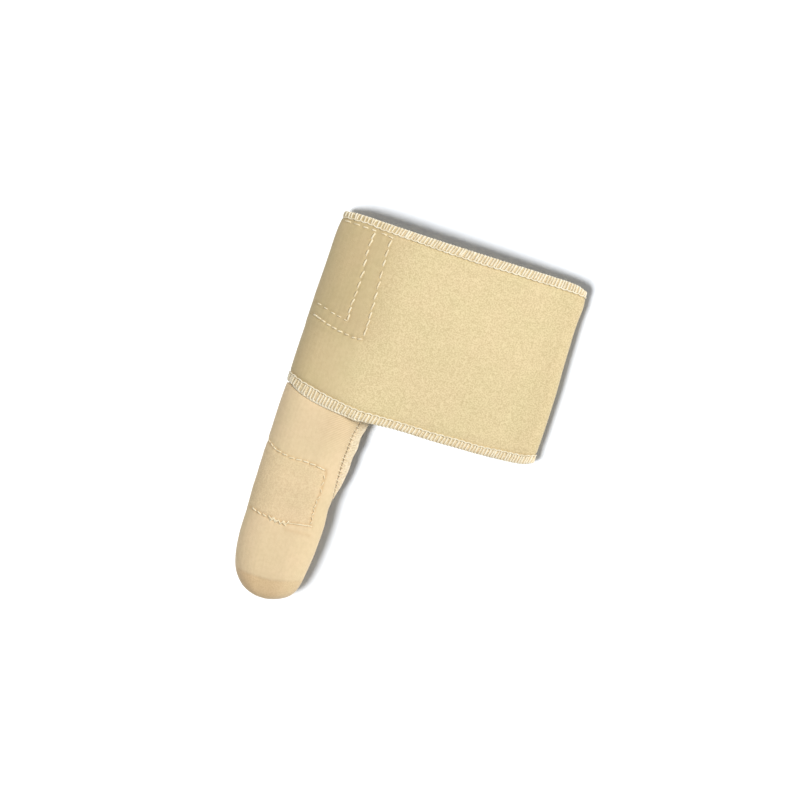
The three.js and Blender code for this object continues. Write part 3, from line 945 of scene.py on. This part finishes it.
# The plain roll of threads that the toe-side rim has where it lies over the sleeve
def makeRoll():
    points = []
    steps = 60
    for i in range(steps + 1):
        x = mix(1.2, 34.5, i / steps)
        end = blendIn(i / steps, 0, 0.06) * (1 - blendIn(i / steps, 0.92, 1))
        fromRim = mix(0.3, -0.42, end) + 0.05 * math.sin(i * 1.9)
        points.append(rimPoint(False, turnAt(x, band["width"]), fromRim, -0.16))
    roll = threadPiece("toe_rim_roll", [(points, False, overlock["rollRadius"])], 3)
    finishPiece(roll, creamThread)
    return roll


heelPieces = makeOverlock("heel_rim", "heel_side_overlock", True, 11)
toePieces = makeOverlock("toe_rim", "toe_side_overlock", False, 12) + [makeRoll()]
print("overlocked rims made")


# Short lengths of thread that rise out of the cloth and dip back into it along each row
def stitchStrands(rows, surface, rng):
    strands = []
    for row in rows:
        way = 1 if row["line"][0][0] > 0 else -1  # the lower layer leans the other way
        for (across, y), (dx, dy) in alongLine(row["line"], row["at"]):
            half = row["dash"] / 2 * rng.uniform(0.9, 1.1)
            tilt = way * row["lean"] + rng.uniform(-0.06, 0.06)
            if row.get("zigzag"):
                way = -way
            points = []
            for t, height in ((-1.0, -0.6), (-0.9, -0.05), (-0.5, 0.26), (0.0, 0.32), (0.5, 0.26),
                              (0.9, -0.05), (1.0, -0.6)):
                side = tilt * t * half
                points.append(surface(across + dx * t * half - dy * side, y + dy * t * half + dx * side, height))
            strands.append((points, False, row["radius"]))
    return strands


def onBand(across, y, height):
    turn = turnAt(across, band["width"])
    share = abs(across) / band["width"]
    start = -band["length"] * heelEdge(share)
    length = band["length"] * (toeEdge(share) - heelEdge(share))
    return bandSurface(turn, (start - y) / length, band["wall"] / 2 + height)


def onSleeve(across, y, height):
    turn = turnAt(across, sleeve["width"])
    return sleeveSurface(turn, sleeveRoot - y, height)


def makeStitches():
    rng = random.Random(5)
    bandThreads = threadPiece("band_stitches", stitchStrands(bandRowsRound, onBand, rng))
    finishPiece(bandThreads, stitchThread)
    strands = stitchStrands(toeRowsRound, onSleeve, rng)
    for row in longThreads:
        spots = alongLine(row["line"], [0.2 * i for i in range(54)])
        strands.append(([onSleeve(*spot, 0.1) for spot, _ in spots], False, row["radius"]))
    for loop in range(8):  # the thread's end, bunched up where the rows meet
        middle = (10.6 + 1.05 * loop, -128.8 + rng.uniform(-0.4, 0.4))
        way = rng.uniform(0.3, 1.2) * (1 if loop % 2 else -1)
        reach = rng.uniform(1.0, 1.5)
        points = []
        for t, height in ((-1.0, -0.5), (-0.7, 0.3), (0.0, 0.62), (0.7, 0.3), (1.0, -0.5)):
            points.append(onSleeve(middle[0] + math.cos(way) * t * reach, middle[1] + math.sin(way) * t * reach, height))
        strands.append((points, False, 0.31))
    toeThreads = threadPiece("toe_stitches", strands)
    finishPiece(toeThreads, stitchThread)
    return bandThreads, toeThreads


bandThreads, toeThreads = makeStitches()
print("stitches made")

seam = {
    "length": 35.0,
    "tuck": 3.0,
    "width": 3.9,
    "thickness": 1.9,
    "rise": 5.6,
    "gap": 0.12,
    "ripple": 0.1,  # of the flattened wraps of thread on it
    "pitch": 1.4,
    "stitchPitch": 1.9,
}
seamSections = {
    "along": (0.0, 0.17, 0.25, 0.38, 0.51, 0.64, 0.77, 0.85, 0.91, 0.96, 1.0),
    "width": (0.85, 0.95, 0.9, 1.0, 0.85, 0.86, 0.67, 0.5, 0.31, 0.15, 0.05),
}
seamWidth = smoothCurve(seamSections, "width", "along")


# A point of the seam allowance: along it, out from the sleeve in widths, and up in thicknesses
def seamPoint(along, out, high):
    distance = mix(-seam["tuck"], seam["length"], along)
    side = sleeveMiddle(math.pi, distance)
    width = seam["width"] * seamWidth(along)
    thickness = seam["thickness"] * (1 - 0.75 * blendIn(along, 0.78, 1))
    return Vector((side[0] + seam["gap"] + out * width, side[1], seam["rise"] + high * thickness / 2))


def makeSeam():
    rng = random.Random(21)
    section = {"at": (0, 1, 2, 3, 4, 5, 6), "out": (0.0, 0.4, 0.85, 0.98, 0.85, 0.4, 0.0),
               "high": (0.62, 0.72, 0.6, 0.0, -0.6, -0.72, -0.62)}
    outAt = smoothCurve(section, "out", "at")
    highAt = smoothCurve(section, "high", "at")
    length = seam["length"] + seam["tuck"]

    def shape(u, v):
        out = outAt(u * 6)
        ribs = math.cos(fullTurn * (v * length / seam["pitch"] + out * 0.9))
        ribs *= seam["ripple"] * (1 - 0.7 * blendIn(v, 0.25, 0.7)) * (1 - blendIn(out, 0.75, 0.95))
        high = highAt(u * 6)
        return seamPoint(v, out, high + math.copysign(ribs * 2 / seam["thickness"], high))

    strip = wrappedSheet("web_seam_bed", 24, 260, shape, (0.01, 0.038))
    giveWall(strip, 0.5, -1.0)
    finishPiece(strip, seamCream)
    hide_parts("web_seam_overlock")
    strands = []
    for stitch in range(int(length / seam["stitchPitch"]) - 2):
        distance = (stitch + 0.6) * seam["stitchPitch"] + rng.uniform(-0.15, 0.15) - 1.0
        along = (distance + seam["tuck"] + 0.55) / length
        points = [sleeveSurface(math.pi - 0.26, distance, -0.15), sleeveSurface(math.pi - 0.2, distance, 0.2)]
        points += [seamPoint(along, 0.1, 1.25), seamPoint(along, 0.24, 0.95), seamPoint(along, 0.28, 0.2)]
        strands.append((points, False, 0.24))
    for wrap in range(int(0.86 * length / seam["pitch"])):  # pressed flat into the strip
        at = (wrap + 0.5 + rng.uniform(-0.15, 0.15)) * seam["pitch"] / length
        points = []
        for out, high, gone in ((0.25, 0.55, 1.0), (0.4, 0.68, 0.8), (0.7, 0.6, 0.4), (0.92, 0.3, 0.1),
                                (0.92, -0.3, 0.1), (0.7, -0.6, 0.4), (0.4, -0.68, 0.8), (0.25, -0.55, 1.0)):
            points.append(seamPoint(at + gone * 0.9 * seam["pitch"] / length, out, high))
        strands.append((points, False, 0.21))
    threads = threadPiece("web_seam_threads", strands)
    finishPiece(threads, stitchThread)
    return strip, threads


seamStrip, seamThreads = makeSeam()
print("web seam made")

patches = {"wall": 1.0, "gap": 0.3}


def makePatches():
    made = []

    def bandShape(u, v):
        turn = mix(-1, 1, u) * turnAt(26.0, band["width"])
        share = bandShare(turn, fromHeel=mix(7.5, 50.5, v))
        return bandSurface(turn, share, -band["wall"] / 2 - patches["gap"])

    def toeShape(u, v):
        turn = mix(-1, 1, u) * turnAt(28.5, sleeve["width"])
        return sleeveSurface(turn, mix(19.5, 48.0, v), -sleeve["wall"] - patches["gap"])

    for name, node, shape, flat, material, slot in (
        ("band_patch_cloth", "band_patch", bandShape, (0.056, 0.043), bandCloth, "band_cloth"),
        ("toe_patch_cloth", "toe_patch", toeShape, (0.061, 0.0285), sleeveCloth, "sleeve_cloth"),
    ):
        piece = wrappedSheet(name, 90, 60, shape, flat)
        giveWall(piece, patches["wall"], -1.0)
        finishPiece(piece, material)
        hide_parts(node)
        made.append((piece, flat))
    return made


patchPieces = makePatches()
print("patches made")

# The table, the lights and the camera
stage = {
    "tableSize": 6.0,
    "tableColour": (0.86, 0.89, 0.93),
    "tableSun": 4.1,  # falls on the table alone, for the shadow towards the heel and the right
    "tableSunFrom": (-0.64, -0.6, 1.1),
    "tableSunAngle": 22,
    "softPower": 7.6,  # falls on the cloth alone, from the heel's side and the right
    "softFrom": (0.75, 0.45, 0.85),
    "softSize": 0.7,
    "topPower": 7.6,  # falls on the cloth alone, from above
    "topFrom": (0.1, 0.15, 1.0),
    "worldStrength": 0.3,
    "cameraHeight": 1.3,
    "viewWidth": 0.328,  # what the picture takes in across, at the cloth's height
    "turn": 18.09,  # of the picture against the band, in degrees
    "viewX": 46.6,  # the middle of the picture, from the band's corner
    "viewY": -66.3,
    "clothLevel": 7.0,
}


def makeTable():
    bm = bmesh.new()
    bmesh.ops.create_grid(bm, x_segments=2, y_segments=2, size=stage["tableSize"] / 2)
    mesh = bpy.data.meshes.new("table")
    bm.to_mesh(mesh)
    bm.free()
    table = linkMesh("table", mesh)
    material, nodes, links, shader = newMaterial("paleTable")
    shader.inputs["Base Color"].default_value = (*stage["tableColour"], 1)
    shader.inputs["Roughness"].default_value = 0.8
    shader.inputs["Specular IOR Level"].default_value = 0.1
    table.data.materials.append(material)
    return table


# A light that falls on some objects alone
def addLight(name, kind, energy, direction, size, onto):
    data = bpy.data.lights.new(name, kind)
    data.energy = energy
    if kind == "SUN":
        data.angle = math.radians(size)
    else:
        data.size = size
    light = bpy.data.objects.new(name, data)
    bpy.context.collection.objects.link(light)
    away = Vector(direction).normalized()
    light.location = away * 1.2
    light.rotation_euler = away.to_track_quat("Z", "Y").to_euler()
    group = bpy.data.collections.new(name + "Onto")
    for target in onto:
        group.objects.link(target)
    light.light_linking.receiver_collection = group


def makeStage():
    table = makeTable()
    clothPieces = [piece for piece in bpy.data.objects if piece.type == "MESH" and piece != table]
    addLight("tableSun", "SUN", stage["tableSun"], stage["tableSunFrom"], stage["tableSunAngle"], [table])
    addLight("softBox", "AREA", stage["softPower"], stage["softFrom"], stage["softSize"], clothPieces)
    addLight("topBox", "AREA", stage["topPower"], stage["topFrom"], stage["softSize"], clothPieces)
    world = bpy.data.worlds.new("studio")
    bpy.context.scene.world = world
    world.use_nodes = True
    world.node_tree.nodes["Background"].inputs["Color"].default_value = (1, 1, 1, 1)
    world.node_tree.nodes["Background"].inputs["Strength"].default_value = stage["worldStrength"]
    bpy.context.scene.view_settings.view_transform = "Standard"
    camera = bpy.data.objects.new("camera", bpy.data.cameras.new("camera"))
    bpy.context.collection.objects.link(camera)
    target = place((stage["viewX"], stage["viewY"], stage["clothLevel"]))
    camera.location = target + Vector((0, 0, stage["cameraHeight"]))
    camera.rotation_euler = (0, 0, math.radians(stage["turn"]))
    camera.data.sensor_width = 36.0
    camera.data.lens = 36.0 * stage["cameraHeight"] / stage["viewWidth"]
    bpy.context.scene.camera = camera


makeStage()
print("stage ready")
